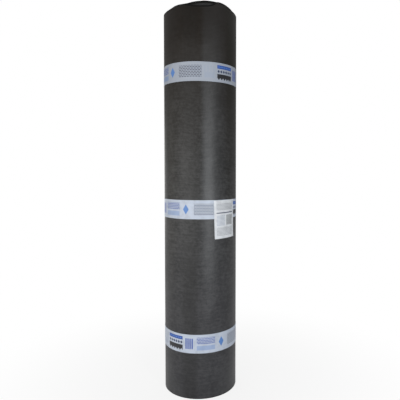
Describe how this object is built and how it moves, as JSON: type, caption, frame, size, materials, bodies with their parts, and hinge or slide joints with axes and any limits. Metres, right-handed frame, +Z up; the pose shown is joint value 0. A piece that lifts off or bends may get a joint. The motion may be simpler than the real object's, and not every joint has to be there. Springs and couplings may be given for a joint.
{
  "type": "roll of roofing felt",
  "caption": "Upright roll of dark bitumen roofing felt, wound on an open bore, with white tapes round it and a paper sticker on its side.",
  "frame": {"origin": "on the bore axis at the level of the floor that the roll stands on", "axes": "+Z up along the bore, -Y towards the front that carries the sticker on its right"},
  "size_m": [0.194, 0.194, 1.0066],
  "materials": {
    "felt": "matt bitumen sheet with a fine grain",
    "tape": "white tape with a blue and grey print",
    "sticker": "white paper with thin grey rules"
  },
  "bodies": {
    "root": {"felt_roll": "felt", "band_bottom": "tape", "band_middle": "tape", "band_top": "tape", "label": "sticker"}
  },
  "joints": []
}
